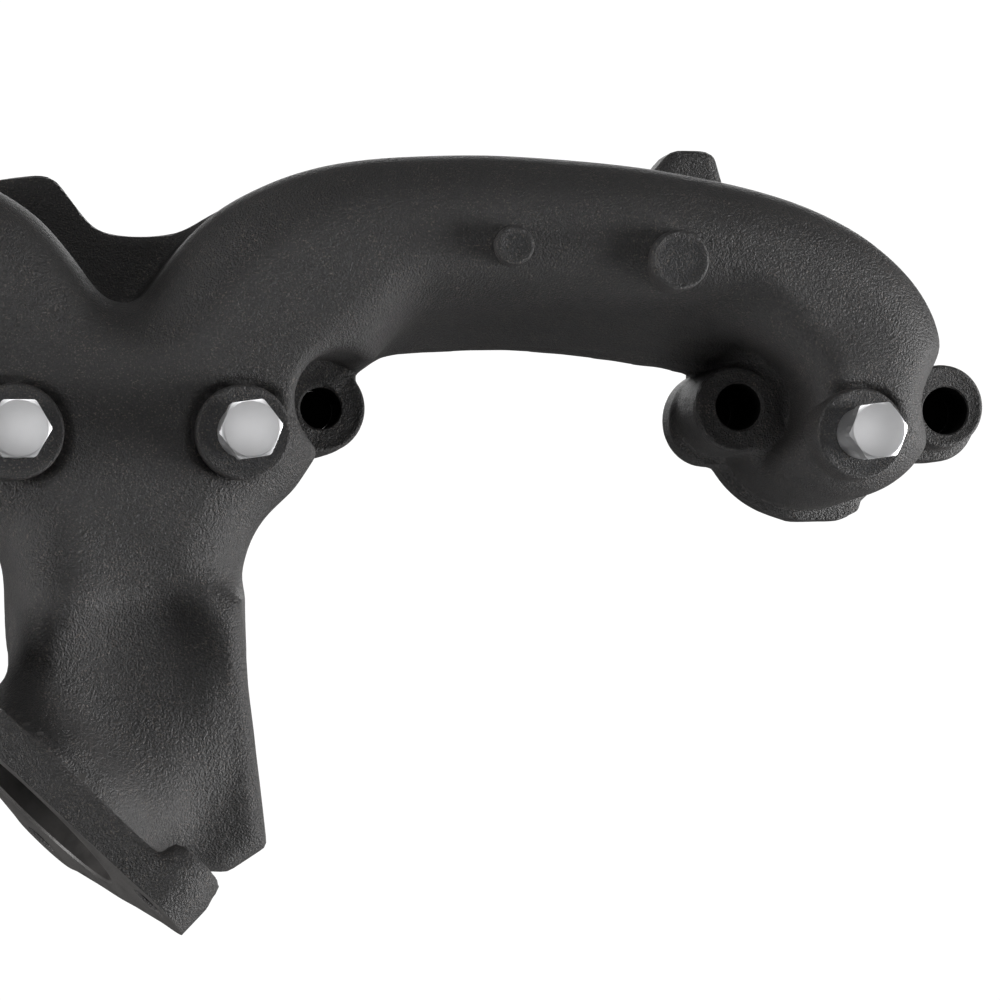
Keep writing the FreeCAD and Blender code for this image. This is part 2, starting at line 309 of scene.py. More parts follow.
@dataclass(frozen=True)
class FacedIronFinish:
    """Ground or machined iron that the coating has only just covered."""

    metal: Colour = (0.060, 0.057, 0.055)
    stain: Colour = (0.034, 0.032, 0.031)
    roughness: float = 0.40

    def material(self) -> bpy.types.Material:
        """Make the flat faced iron.

        Returns:
            The material.
        """
        bench = ShaderBench("faced_iron")
        where = bench.place()
        cloud = bench.noise(where, 8.0, 3.0, 0.6)
        grain = bench.noise(where, 0.5)
        strokes = bench.node("ShaderNodeMapping", {
            "Vector": where, "Rotation": (0.0, 0.35, 0.0), "Scale": (0.12, 1.0, 1.0)})
        lay = bench.noise(strokes.outputs[0], 0.35)
        colour = bench.blend(cloud.step_between(0.38, 0.70), self.metal, self.stain)
        roughness = lay * 0.2 + grain * 0.1 + (self.roughness - 0.12)
        normal = bench.bump(lay * 0.6 + grain * 0.4, 0.06, 0.6)
        return bench.finish(Base_Color=colour, Roughness=roughness, Normal=normal,
                            Metallic=0.25)


@dataclass(frozen=True)
class TurnedSteelFinish:
    """Zinc-plated plug steel: turned rings on the face, fine drawing on the flats."""

    metal: Colour = (0.97, 0.97, 0.985)
    dull: Colour = (0.88, 0.88, 0.89)
    ring_mm: float = 0.42
    ring_offset_mm: tuple[float, float] = (0.5, -0.35)

    def material(self, name: str, axis_at: Vector) -> bpy.types.Material:
        """Make one plug's material.

        Args:
            name: the material's name.
            axis_at: a point on the plug's axis.

        Returns:
            The turned steel.
        """
        bench = ShaderBench(name)
        shift = Vector((self.ring_offset_mm[0] * MM, 0.0, self.ring_offset_mm[1] * MM))
        where = bench.place(axis_at + shift)
        flat = bench.node("ShaderNodeVectorMath", {0: where, 1: (1.0, 0.0, 1.0)},
                          operation="MULTIPLY").outputs[0]
        length = bench.node("ShaderNodeVectorMath", {0: flat}, operation="LENGTH")
        radius = Signal(bench, length.outputs["Value"])
        wander = bench.noise(where, 2.5)
        phase = radius * (math.tau / (self.ring_mm * MM)) + wander * 1.6
        rings = phase.sine() * 0.5 + 0.5
        scuff = bench.noise(where, 0.3, 3.0, 0.6)
        tone = bench.noise(where, 3.0)
        colour = bench.blend(tone * 0.6 + rings * 0.18, self.metal, self.dull)
        roughness = scuff * 0.16 + rings * 0.08 + 0.24
        normal = bench.bump(rings * 0.7 + scuff * 0.3, 0.012, 0.6)
        return bench.finish(Base_Color=colour, Roughness=roughness, Normal=normal,
                            Metallic=1.0)


@dataclass(frozen=True)
class PlainFinish:
    """Plain matt studio surface with the faintest mottle."""

    name: str
    tone: float
    mottled: float
    mottle_mm: float
    amount: float
    roughness: float
    shine: float

    def material(self) -> bpy.types.Material:
        """Make the plain material.

        Returns:
            The material.
        """
        bench = ShaderBench(self.name)
        mottle = bench.noise(bench.place(), self.mottle_mm, 1.0)
        colour = bench.blend(mottle * self.amount, (self.tone,) * 3, (self.mottled,) * 3)
        return bench.finish(Base_Color=colour, Roughness=self.roughness,
                            Specular_IOR_Level=self.shine)


PALE_FLOOR = PlainFinish("pale_floor", 0.93, 1.0, 60.0, 0.02, 0.9, 0.5)
# near-black card material: painted shade set inside the bolt holes
HOLE_SHADE_CARD = PlainFinish("painted_hole_shade_card", 0.004, 0.01, 2.0, 0.1, 1.0, 0.0)


# --- form maths
def smooth_min(a: Array, b: Array, blend: float) -> Array:
    """Union of two distance fields with a fillet.

    Args:
        a, b: the fields.
        blend: width of the fillet, in millimetres.

    Returns:
        The joined field.
    """
    overlap = np.maximum(blend - np.abs(a - b), 0.0) / blend
    return np.minimum(a, b) - overlap * overlap * (blend / 4)


def smooth_max(a: Array, b: Array, blend: float) -> Array:
    """Intersection of two distance fields with a rounded edge."""
    return -smooth_min(-a, -b, blend)


def smooth_step(low: float, high: float, value: Array) -> Array:
    """Smooth step from 0 at low to 1 at high."""
    t = np.clip((value - low) / (high - low), 0.0, 1.0)
    return t * t * (3 - 2 * t)


def graded(stations: Points, value: Array) -> Array:
    """Smooth curve through stations, flat beyond its ends.

    Args:
        stations: pairs of place and height.
        value: where to read the curve.

    Returns:
        The heights.
    """
    xs = np.array([s[0] for s in stations], float)
    ys = np.array([s[1] for s in stations], float)
    slope = np.gradient(ys, xs)
    i = np.clip(np.searchsorted(xs, value) - 1, 0, len(xs) - 2)
    span = xs[i + 1] - xs[i]
    t = np.clip((value - xs[i]) / span, 0.0, 1.0)
    h00, h10 = (1 + 2 * t) * (1 - t) ** 2, t * (1 - t) ** 2
    h01, h11 = t * t * (3 - 2 * t), t * t * (t - 1)
    return h00 * ys[i] + h10 * span * slope[i] + h01 * ys[i + 1] + h11 * span * slope[i + 1]


def slab(flat: Array, depth: Array, front: Level, back: Level,
         front_round: Level, back_round: Level) -> Array:
    """Plan outline carried between two depths, with rounded edges.

    Args:
        flat: distance to the outline in the plan.
        depth: depth of each point.
        front, back: the two faces' depths.
        front_round, back_round: radii of their edges.

    Returns:
        The solid's distance field.
    """
    middle, half = (front + back) / 2, (front - back) / 2
    r = np.where(depth > middle, front_round, back_round)
    u, w = flat + r, np.abs(depth - middle) - half + r
    return (np.minimum(np.maximum(u, w), 0.0)
            + np.hypot(np.maximum(u, 0.0), np.maximum(w, 0.0)) - r)


def polygon_distance(corners: Points, u: Array, v: Array) -> Array:
    """Signed distance to a closed polygon, negative inside.

    Args:
        corners: the polygon's corners.
        u, v: the points.

    Returns:
        The distances.
    """
    nearest = np.full(u.shape, 1e12)
    inside = np.zeros(u.shape, bool)
    for (u0, v0), (u1, v1) in zip(corners, list(corners[1:]) + [corners[0]]):
        eu, ev = u1 - u0, v1 - v0
        wu, wv = u - u0, v - v0
        t = np.clip((wu * eu + wv * ev) / (eu * eu + ev * ev + 1e-12), 0.0, 1.0)
        nearest = np.minimum(nearest, (wu - eu * t) ** 2 + (wv - ev * t) ** 2)
        crosses = (v0 <= v) != (v1 <= v)
        side = wu * ev < wv * eu if v1 > v0 else wu * ev > wv * eu
        inside ^= crosses & side
    return np.where(inside, -1.0, 1.0) * np.sqrt(nearest)


def eased(corners: Points, passes: int) -> list[tuple[float, float]]:
    """Closed outline with its corners cut again and again, so that it curves.

    Args:
        corners: the outline.
        passes: how many times the corners are cut.

    Returns:
        The denser outline.
    """
    line = [tuple(c) for c in corners]
    for _ in range(passes):
        line = [(s * x0 + (1 - s) * x1, s * z0 + (1 - s) * z1)
                for (x0, z0), (x1, z1) in zip(line, line[1:] + line[:1]) for s in (0.75, 0.25)]
    return line


class Plan:
    """Signed distance to an outline in the X-Z plane, kept on a fine grid."""

    STEP = 1.0
    MARGIN = 34.0

    def __init__(self, corners: Points, passes: int = 2, soften: int = 1) -> None:
        """Fill the grid.

        Args:
            corners: the outline, in millimetres.
            passes: corner cuts that round the outline.
            soften: passes of a small blur that rounds what is left.
        """
        outline = eased(corners, passes)
        self.low = np.min(outline, axis=0) - self.MARGIN
        high = np.max(outline, axis=0) + self.MARGIN
        x, z = np.meshgrid(*(np.arange(a, b + self.STEP, self.STEP)
                             for a, b in zip(self.low, high)), indexing="ij")
        table = polygon_distance(outline, x, z)
        for _ in range(soften):
            for axis in (0, 1):
                table = (np.roll(table, 1, axis) + 2 * table + np.roll(table, -1, axis)) / 4
        self.table = table

    def __call__(self, x: Array, z: Array) -> Array:
        """Read the distance at points.

        Args:
            x, z: the points.

        Returns:
            The distances; beyond the grid they grow with the distance to it.
        """
        u = (x - self.low[0]) / self.STEP
        v = (z - self.low[1]) / self.STEP
        nu, nv = self.table.shape
        cu, cv = np.clip(u, 1, nu - 2.001), np.clip(v, 1, nv - 2.001)
        beyond = np.hypot(u - cu, v - cv) * self.STEP
        i, j = cu.astype(int), cv.astype(int)
        fu, fv = cu - i, cv - j
        t = self.table
        low = t[i, j] * (1 - fu) + t[i + 1, j] * fu
        high = t[i, j + 1] * (1 - fu) + t[i + 1, j + 1] * fu
        return low * (1 - fv) + high * fv + beyond


Field = Callable[[Array, Array, Array], Array]


def surface_net(form: Field, low: Sequence[float], high: Sequence[float], step: float
                ) -> tuple[Array, Array]:
    """Closed quad mesh on the zero level of a distance field.

    Args:
        form: the field, of x, y and z in millimetres.
        low, high: corners of the box to search.
        step: the grid's step.

    Returns:
        Vertices and quads that face outwards.
    """
    axes = [np.arange(a, b + step, step) for a, b in zip(low, high)]
    values = np.concatenate([
        form(*np.meshgrid(axes[0][i:i + 12], *axes[1:], indexing="ij")).astype(np.float32)
        for i in range(0, len(axes[0]), 12)])
    cells = np.array(values.shape) - 1
    strides = np.array([cells[1] * cells[2], cells[2], 1])
    unit = np.eye(3, dtype=int)
    keys, places, quads = [], [], []
    for axis in range(3):
        at = np.argwhere(np.diff(values < 0, axis=axis))
        va, vb = values[tuple(at.T)], values[tuple((at + unit[axis]).T)]
        point = at.astype(float)
        point[:, axis] += va / (va - vb)
        ring = [(at + dp * unit[axis - 2] + dq * unit[axis - 1]) @ strides
                for dp, dq in ((-1, -1), (0, -1), (0, 0), (-1, 0))]
        keys += ring
        places += [point] * len(ring)
        quad = np.stack(ring, 1)
        flip = va > 0
        quad[flip] = quad[flip][:, ::-1]
        quads.append(quad)
    keys, places, quads = np.concatenate(keys), np.concatenate(places), np.concatenate(quads)
    used, index = np.unique(keys, return_inverse=True)
    count = np.bincount(index)
    vertices = np.stack([np.bincount(index, places[:, k]) / count for k in range(3)], 1)
    vertices = vertices * step + np.array(low)
    return settle(form, vertices, step), np.searchsorted(used, quads)


def settle(form: Field, vertices: Array, step: float) -> Array:
    """Move vertices onto the zero level along the field's slope.

    Args:
        form: the field.
        vertices: points near the surface.
        step: the grid's step, which limits the move.

    Returns:
        The moved vertices.
    """
    reach = 0.25
    for _ in range(2):
        here = form(*vertices.T)
        slope = np.stack([(form(*(vertices + e).T) - form(*(vertices - e).T)) / (2 * reach)
                          for e in np.eye(3) * reach], 1)
        size = np.maximum((slope ** 2).sum(1), 0.2)
        move = slope * (here / size)[:, None]
        length = np.linalg.norm(move, axis=1, keepdims=True)
        vertices = vertices - move * np.minimum(1.0, 0.6 * step / np.maximum(length, 1e-9))
    return vertices


# --- mesh help
def mesh_object(name: str, vertices: Array, faces: Sequence[Sequence[int]]
                ) -> Piece:
    """Make an object from vertices in millimetres.

    Args:
        name: the object's name.
        vertices: points in millimetres.
        faces: each face's corners.

    Returns:
        The linked object, in metres.
    """
    data = bpy.data.meshes.new(name)
    data.from_pydata((np.asarray(vertices) * MM).tolist(), [],
                     np.asarray(faces).tolist() if isinstance(faces, np.ndarray) else faces)
    data.update()
    made = bpy.data.objects.new(name, data)
    bpy.context.scene.collection.objects.link(made)
    return made


def ring_faces(rings: int, segments: int) -> list[list[int]]:
    """Faces round a stack of rings of vertices, with a cap on each end.

    Args:
        rings: how many rings are stacked.
        segments: vertices in each ring.

    Returns:
        The faces.
    """
    faces = []
    for i in range(rings - 1):
        for k in range(segments):
            n = (k + 1) % segments
            faces.append([i * segments + k, i * segments + n,
                          (i + 1) * segments + n, (i + 1) * segments + k])
    faces.append(list(range(segments))[::-1])
    faces.append([(rings - 1) * segments + k for k in range(segments)])
    return faces


def lathe(profile: Points, along: Vector, centre: Vector, segments: int = 72) -> Shape:
    """Turned solid with capped ends.

    Args:
        profile: pairs of radius and place along the axis, in order along the axis.
        along: the axis's direction.
        centre: where the axis starts.
        segments: sides of the turned solid.

    Returns:
        Vertices and faces.
    """
    along = along.normalized()
    side = along.orthogonal().normalized()
    up = along.cross(side)
    vertices = []
    for radius, place in profile:
        for k in range(segments):
            angle = math.tau * k / segments
            spoke = side * math.cos(angle) + up * math.sin(angle)
            vertices.append(centre + along * place + spoke * radius)
    return vertices, ring_faces(len(profile), segments)


class Shop(Enum):
    """How a cutter works on a piece."""

    CUT = "DIFFERENCE"
    KEEP_COMMON = "INTERSECT"
    ADD = "UNION"


def machine(piece: Piece, cutter: Piece, how: Shop = Shop.CUT) -> None:
    """Work a piece with another closed mesh and throw that away.

    Args:
        piece: the piece to work on.
        cutter: a closed mesh.
        how: cut it away, keep what both share, or add it.
    """
    step = piece.modifiers.new("machining", "BOOLEAN")
    step.operation = how.value
    step.solver = "MANIFOLD"
    step.object = cutter
    evaluated = piece.evaluated_get(bpy.context.evaluated_depsgraph_get())
    old, worked = piece.data, bpy.data.meshes.new_from_object(evaluated)
    piece.modifiers.clear()
    piece.data = worked
    bpy.data.meshes.remove(old)
    bpy.data.objects.remove(cutter)


def join_shapes(name: str, *shapes: Shape) -> Piece:
    """One object from several separate closed shapes.

    Args:
        name: the object's name.
        shapes: vertices in millimetres and faces of each.

    Returns:
        The object.
    """
    vertices, faces = [], []
    for points, sides in shapes:
        base = len(vertices)
        vertices += [tuple(p) for p in points]
        faces += [[base + i for i in f] for f in sides]
    return mesh_object(name, np.array(vertices), faces)


# --- the places
@dataclass
class Bolt:
    """One size of head bolt hole, mirrored about the centre."""

    x: float
    hole_radius: float
    lug_front: float
    pocket_radius: float
    pocket_blend: float
    pocket_flare: float
    lug_centre: tuple[float, float]
    lug_radius: float


@dataclass
class Places:
    """Where holes and faces are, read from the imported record, in millimetres."""

    bolts: list[Bolt]
    outlet: Vector
    outward: Vector
    along: Vector
    front: Vector
    bore_radius: float
    stud_circle: float
    stud_radius: float

    STUDS = 3
    FIRST_STUD = 44.0

    @classmethod
    def from_record(cls, record: Mapping[str, object]) -> "Places":
        """Read the mounts.

        Args:
            record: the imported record.

        Returns:
            The places.
        """
        mounts = {m["name"]: m for m in record["mounts"]}
        bolts = []
        for name, front, pocket, blend, flare, shift, radius in (
                ("inner", 18.0, 12.8, 4.0, 0.0, (0.1, 0.0), 12.3),
                ("middle", 32.0, 14.5, 9.0, 0.0, (-0.4, -0.6), 11.9),
                ("outer", 18.0, 14.0, 4.0, 0.36, (-0.5, 1.2), 11.9)):
            dims = mounts["head_bolts_" + name]["dims"]
            x = dims["spacing_x_mm"] / 2
            bolts.append(Bolt(x, dims["hole_r_mm"], front, pocket, blend, flare,
                              (x + shift[0], shift[1]), radius))
        studs, bore = mounts["outlet_studs"], mounts["outlet_bore"]
        outward = Vector(studs["axis"]).normalized()
        along = Vector((-outward.z, 0.0, outward.x)).normalized()
        front = outward.cross(along)
        if front.y > 0:
            front.negate()
        return cls(bolts, Vector(studs["pos_m"]) / MM, outward, along, front,
                   bore["dims"]["r_mm"], studs["dims"]["pcd_mm"] / 2,
                   studs["dims"]["hole_r_mm"])

    def stud_angles(self) -> list[float]:
        """Angles of the stud holes round the outlet, from along towards the front."""
        pitch = 360.0 / self.STUDS
        return [math.radians(self.FIRST_STUD + pitch * i) for i in range(self.STUDS)]

    def bolt_spots(self) -> list[tuple[Bolt, int]]:
        """Each head bolt hole with its side, -1 on the left and 1 on the right."""
        return [(bolt, side) for bolt in self.bolts for side in (-1, 1)]

    def stud(self, angle: float) -> Vector:
        """Centre of a stud hole on the outlet face."""
        spoke = self.along * math.cos(angle) + self.front * math.sin(angle)
        return self.outlet + spoke * self.stud_circle


# --- the casting
class Slot(Enum):
    """Which of the casting's finishes a face takes."""

    COATED = 0
    FACED = 1
    BOSS_FACE = 2
    # painted shade on the bolt-hole walls
    PAINTED_HOLE_SHADE = 3


@dataclass
class Casting:
    """The iron casting: outer form, passages, machined faces and holes."""

    places: Places
    plug_places: list[tuple[float, float]]
    wall: float = 5.5
    spare_iron: float = 4.5
    pocket_wall: float = 3.4
    outlet_wall: float = 7.0
    body_front: float = 59.6
    arm_back: float = 6.0
    body_back: float = 3.0
    front_round: float = 19.0
    back_round: float = 9.0
    disc_front: float = 61.6
    boss_front: float = 62.6
    boss_radius: float = 12.3
    heel_front: float = 61.0
    heel_back: float = 24.0
    cup_front: float = 56.8
    flange_margin: float = 10.2
    flange_height: float = 9.4
    stud_boss_radius: float = 10.3
    stud_boss_height: float = 15.4
    bore_depth: float = 12.0
    stud_depth: float = 24.0
    plug_hole_radius: float = 6.9
    outer_step: float = 1.65
    inner_step: float = 3.2
    plans: dict[str, Plan] = field(default_factory=dict)

    OUTER_BOX = (-252, -104, -140), (252, 5, 78)
    HOLLOW_BOX = (-250, -88, -128), (250, 6.5, 70)
    PORTS = (28.5, 16.5), (202.5, 17.5)
    PORT_CORNER = 8
    DISCS = (101, 40.3, 5.2), (145.7, 37, 8)
    CUP_CENTRE = 196, -1
    CUP_RADIUS = 27.4
    SCOOP_CENTRE = 12.5, -82, 74.5
    SCOOP_RADII = 19, 31, 12.5
    SCOOP_TURN = math.radians(10)
    SLABS = {  # front, back, front edge, back edge
        "web": (11, 3, 1.6, 1.6), "inner_pad": (9, -4, 1.6, 0.5),
        "end_pad": (9, -4, 1.5, 0.5), "foot": (8, -4, 1.2, 0.5),
        "lip": (13, 3, 2.5, 2), "back_lug": (16, 3, 2, 2)}
    CENTRAL = "web", "inner_pad"
    NECK_FRONT = [(0, 87.6), (10, 85.9), (16, 85.9), (22, 84.8), (32, 78.5), (42, 70),
                  (52, 63), (62, 57), (80, 48)]
    NECK_BACK = [(0, 26.4), (14, 25.5), (30, 22), (45, 13), (60, 8), (80, 10)]
    NECK_ROUND = [(0, 30.4), (16, 28.5), (40, 22), (60, 20)]

    BODY = [
        (0.6, 25.4), (4.3, 26.8), (7.2, 29.7), (11.2, 35.3), (15.3, 40.7), (20.8, 46.9),
        (26.3, 51.2), (32.2, 54.7), (40.2, 58.5), (48, 61.3), (57.6, 63.7), (72, 65.6),
        (95.4, 66.8), (114.5, 66.1), (130.3, 65.1), (143.1, 63.8), (157.3, 61.6),
        (171.6, 58.8), (186.7, 54.4), (200.3, 48), (208.6, 42.1), (215, 36.2),
        (219.5, 30.4), (222.7, 24.4), (224.4, 18.8), (224.9, 12.3), (224, 3.4),
        (221.5, -5), (216.5, -14), (208, -20), (196.5, -23), (185, -20.5),
        (177.5, -14), (174.5, -4), (174, 6), (170, 12.5), (160, 14.6),
        (145, 15.6), (133.4, 16.6), (114.5, 17.8), (90.5, 17.4), (77, 15.8),
        (69, 12), (61, 4), (56.5, -4), (51.9, -12.7), (47.3, -19.7),
        (44.7, -23.4), (40.9, -26.8), (37.1, -30.5), (34.2, -34.8), (32.2, -39.5),
        (30.9, -45), (30.2, -51), (29.6, -58.6), (28.8, -66), (22, -74),
        (0, -78)]
    BODY_LEFT_SIDE = [
        (-21, -74), (-28.5, -68), (-29.1, -61), (-29.1, -52), (-29.3, -44.4),
        (-30.9, -38.6), (-34.6, -33.4), (-39.2, -29.2)]

    TURN = 40.9, -26.8
    PADS = {
        "inner_pad": [(-56, 0, 11.8), (-28.5, 0, 22.5), (28.5, 0, 22.5), (56, 0, 11.8)],
        "end_pad": [(169.2, -3, 12.4), (235, -1.8, 12.4)]}
    OUTLINES = {
        "back_lug": ([(146.5, 44.9), (151, 66.9), (155.2, 71.8), (157.5, 72.9), (166, 72.9),
                      (168.8, 71.5), (171.5, 61.9), (173, 44.9)], 0),
        "lip": ([(64, 12), (72, 14.6), (80, 15.9), (106, 17.3), (121, 16.6), (138, 14.8),
                 (148, 13.2), (156, 12.4), (172, 8), (172, 24), (106, 32), (64, 24)], 1),
        "web": ([(-42, 26), (-39, 52), (-36.5, 60), (-30, 61.8), (-18.5, 63.4), (-14.6, 62),
                 (-10.5, 56.4), (-6, 50.5), (-2.5, 48), (4, 46.9), (12, 47), (20, 48.5),
                 (28, 53), (38, 58), (44, 36), (0, 12)], 1),
        "neck": ([(-22, -14), (-28.5, -30), (-29.1, -50), (-28.8, -66), (-32, -72.6),
                  (-38.5, -78), (-45.9, -82.9), (-52, -88), (-10, -132), (-2.9, -126.5),
                  (7, -116.5), (18, -104), (26, -88), (28.6, -72), (28.8, -58), (28.6, -40),
                  (25, -14)], 1, 2),
        "heel": ([(2, -58), (20, -50), (28.4, -52), (29.2, -62), (30.4, -74), (31.8, -86),
                  (33.2, -100), (34.8, -115.4), (24.6, -121.8), (12, -121), (0, -100)], 0),
        "foot": ([(184, -18), (187.6, -28.2), (193.2, -30.9), (206.5, -30.9), (212.4, -28),
                  (215, -18)], 0)}

    def prepare(self) -> None:
        """Lay out every plan that the form needs."""
        left = [(-x, z) for x, z in self.BODY[self.BODY.index(self.TURN):0:-1]]
        drawn = {"body": (self.BODY + self.BODY_LEFT_SIDE + left, 2, 2), **self.OUTLINES}
        for name, circles in self.PADS.items():
            drawn[name] = self.hull_outline(circles), 0
        self.plans = {name: Plan(*drawing) for name, drawing in drawn.items()}

    @staticmethod
    def hull_outline(circles: Sequence[tuple[float, float, float]]) -> Points:
        """Outline round circles joined in order by their outer tangents.

        Args:
            circles: x, z and radius of each.

        Returns:
            The outline's corners.
        """
        upper, lower = [], []
        for (x0, z0, r0), (x1, z1, r1) in zip(circles, circles[1:]):
            base = math.atan2(z1 - z0, x1 - x0)
            tilt = math.acos((r0 - r1) / math.hypot(x1 - x0, z1 - z0))
            for x, z, r in ((x0, z0, r0), (x1, z1, r1)):
                upper.append((x + r * math.cos(base + tilt), z + r * math.sin(base + tilt)))
                lower.append((x + r * math.cos(base - tilt), z + r * math.sin(base - tilt)))
        arc = np.linspace(1.3, -1.3, 14)
        (x0, z0, r0), (x1, z1, r1) = circles[0], circles[-1]
        last = [(x1 + r1 * math.cos(a), z1 + r1 * math.sin(a)) for a in arc]
        first = [(x0 - r0 * math.cos(a), z0 - r0 * math.sin(a)) for a in arc]
        return upper + last + lower[::-1] + first

    def outlet_places(self, x: Array, depth: Array, z: Array) -> tuple[Array, Array, Array]:
        """Coordinates on the outlet face: along, front, and distance inwards.

        Args:
            x, depth, z: the points.

        Returns:
            The three coordinates.
        """
        p = self.places
        dx, dy, dz = x - p.outlet.x, -depth - p.outlet.y, z - p.outlet.z
        return tuple(dx * a.x + dy * a.y + dz * a.z for a in (p.along, p.front, -p.outward))

    def main_wall(self, x: Array, depth: Array, z: Array) -> Array:
        """Gas-carrying body: arms, shared body, end cups and the neck to the outlet.

        Args:
            x, depth, z: the points.

        Returns:
            The distance field.
        """
        ax = np.abs(x)
        under = smooth_step(60, 82, ax) * (1 - smooth_step(158, 186, ax))
        under = under * (1 - smooth_step(22, 52, z))
        lift = under * np.maximum(depth - 16, 0) * 0.30
        flat = self.plans["body"](x, z - lift)
        back = self.body_back + (self.arm_back - self.body_back) * smooth_step(45, 75, ax)
        reach = self.body_front - 1.2 * smooth_step(50, 90, ax)
        rise = smooth_step(-47, -84, z)
        body = slab(flat, depth, reach + 9 * rise * rise, back + 13 * rise,
                    self.front_round, self.back_round)
        cup_r = np.hypot(ax - self.CUP_CENTRE[0], z - self.CUP_CENTRE[1]) - self.CUP_RADIUS
        cup_r += 5.2 * np.clip(depth, 0, 60) / 57
        cup = slab(cup_r, depth, self.cup_front, 0, 15, 2)
        body = smooth_min(body, cup, 9)
        inwards = self.outlet_places(x, depth, z)[2]
        reach, back, r = (graded(stations, inwards) for stations in (
            self.NECK_FRONT, self.NECK_BACK, self.NECK_ROUND))
        neck = slab(self.plans["neck"](x, z), depth, reach, back, r, r)
        neck = np.maximum(neck, -inwards - 2)
        return smooth_min(body, neck, 6)

    def flange(self, x: Array, depth: Array, z: Array) -> Array:
        """Three-lobed outlet flange with thicker stud bosses.

        Args:
            x, depth, z: the points.

        Returns:
            The distance field.
        """
        p = self.places
        along, front, inwards = self.outlet_places(x, depth, z)
        corners = [(p.stud_circle * math.cos(a), p.stud_circle * math.sin(a))
                   for a in p.stud_angles()]
        plate = polygon_distance(corners, along, front) - self.flange_margin
        plate = smooth_min(plate, np.hypot(along, front) - p.bore_radius - 6.6, 3)
        solid = slab(plate, inwards, self.flange_height, -4, 1.4, 0.5)
        for a, b in corners:
            boss = np.hypot(along - a, front - b) - self.stud_boss_radius
            boss = smooth_max(boss, 40 - np.hypot(along, front), 3)
            boss = smooth_max(boss, a - 6.2 - along, 3)
            boss = slab(boss, inwards, self.stud_boss_height, -4, 2.2, 0.5)
            solid = smooth_min(solid, boss, 4)
        return solid

    def outer(self, x: Array, y: Array, z: Array) -> Array:
        """Whole outer form, before the holes are drilled and the faces cut.

        Args:
            x, y, z: the points.

        Returns:
            The distance field.
        """
        depth, ax = -y, np.abs(x)
        iron = self.main_wall(x, depth, z)
        reach = self.heel_front + 2 * smooth_step(-70, -110, z)
        heel = slab(self.plans["heel"](x, z), depth, reach, self.heel_back, 5, 4)
        iron = smooth_min(iron, heel, 9)
        inwards = self.outlet_places(x, depth, z)[2]
        lower_left = (-0.8 * (x - 12.5) - 0.6 * (z + 83)) / 20
        iron = smooth_max(iron, -smooth_max(self.scoop(x, depth, z), 21 - inwards, 9),
                          4 + 16 * smooth_step(-0.6, 0.7, lower_left))
        for bolt in self.places.bolts:
            well = smooth_max(self.pocket(bolt, ax, depth, z), bolt.lug_front - depth, 1.5)
            iron = smooth_max(iron, -well, bolt.pocket_blend)
        web, inner, pad, foot, lip, lug = (
            slab(self.plans[name](x if name in self.CENTRAL else ax, z), depth, *sizes)
            for name, sizes in self.SLABS.items())
        disc = slab(np.hypot(ax - 196.5, z + 1) - 29.4, depth, 6.8, -4, 1, 1)
        pad = smooth_min(smooth_min(pad, foot, 1.6), disc, 1.2)
        for part, blend in ((web, 4), (inner, 3.5), (pad, 1.8),
                            (smooth_min(lip, lug, 1), 3)):
            iron = smooth_min(iron, part, blend)
        for bolt in self.places.bolts:
            lug = np.hypot(ax - bolt.lug_centre[0], z - bolt.lug_centre[1]) - bolt.lug_radius
            boss = slab(lug, depth, bolt.lug_front - 0.8, -4, 1.2, 1.2)
            iron = smooth_min(iron, boss, 2.2)
        squared = slab(np.maximum(np.abs(ax - 175.3) - 5.9, np.abs(z + 5.8) - 5.8), depth,
                       31.6, 0, 1.2, 0.5)
        iron = smooth_min(iron, squared, 2)
        for px, pz in self.plug_places:
            moat = np.abs(np.hypot(x - px, z - pz) - self.boss_radius - 0.3) - 0.9
            moat = smooth_max(moat, self.body_front - 1.6 - depth, 1)
            iron = smooth_max(iron, -moat, 2)
        iron = smooth_min(iron, self.flange(x, depth, z), 2.4)
        return iron

    def pocket(self, bolt: Bolt, ax: Array, depth: Array, z: Array) -> Array:
        """Distance to the spanner room in front of a bolt; the outermost one flares."""
        flare = bolt.pocket_flare * np.maximum(depth - 37, 0)
        return np.hypot(ax - bolt.x, z) - bolt.pocket_radius - flare

    def scoop(self, x: Array, depth: Array, z: Array) -> Array:
        """Hollow scooped out of the collector's lower right, between neck and heel.

        Args:
            x, depth, z: the points.

        Returns:
            The distance field.
        """
        cx, cz, cd = self.SCOOP_CENTRE
        ra, rb, rc = self.SCOOP_RADII
        cos, sin = math.cos(self.SCOOP_TURN), math.sin(self.SCOOP_TURN)
        u, w = x - cx, z - cz
        a = (u * cos + w * sin) / ra
        a = np.where(a < 0, 0.55 * a, a)
        b = (w * cos - u * sin) / rb
        c = (depth - cd - 0.42 * (-77 - z)) / rc
        k0 = np.sqrt(a * a + b * b + c * c) + 1e-9
        k1 = np.sqrt((a / ra) ** 2 + (b / rb) ** 2 + (c / rc) ** 2) + 1e-9
        return k0 * (k0 - 1) / k1

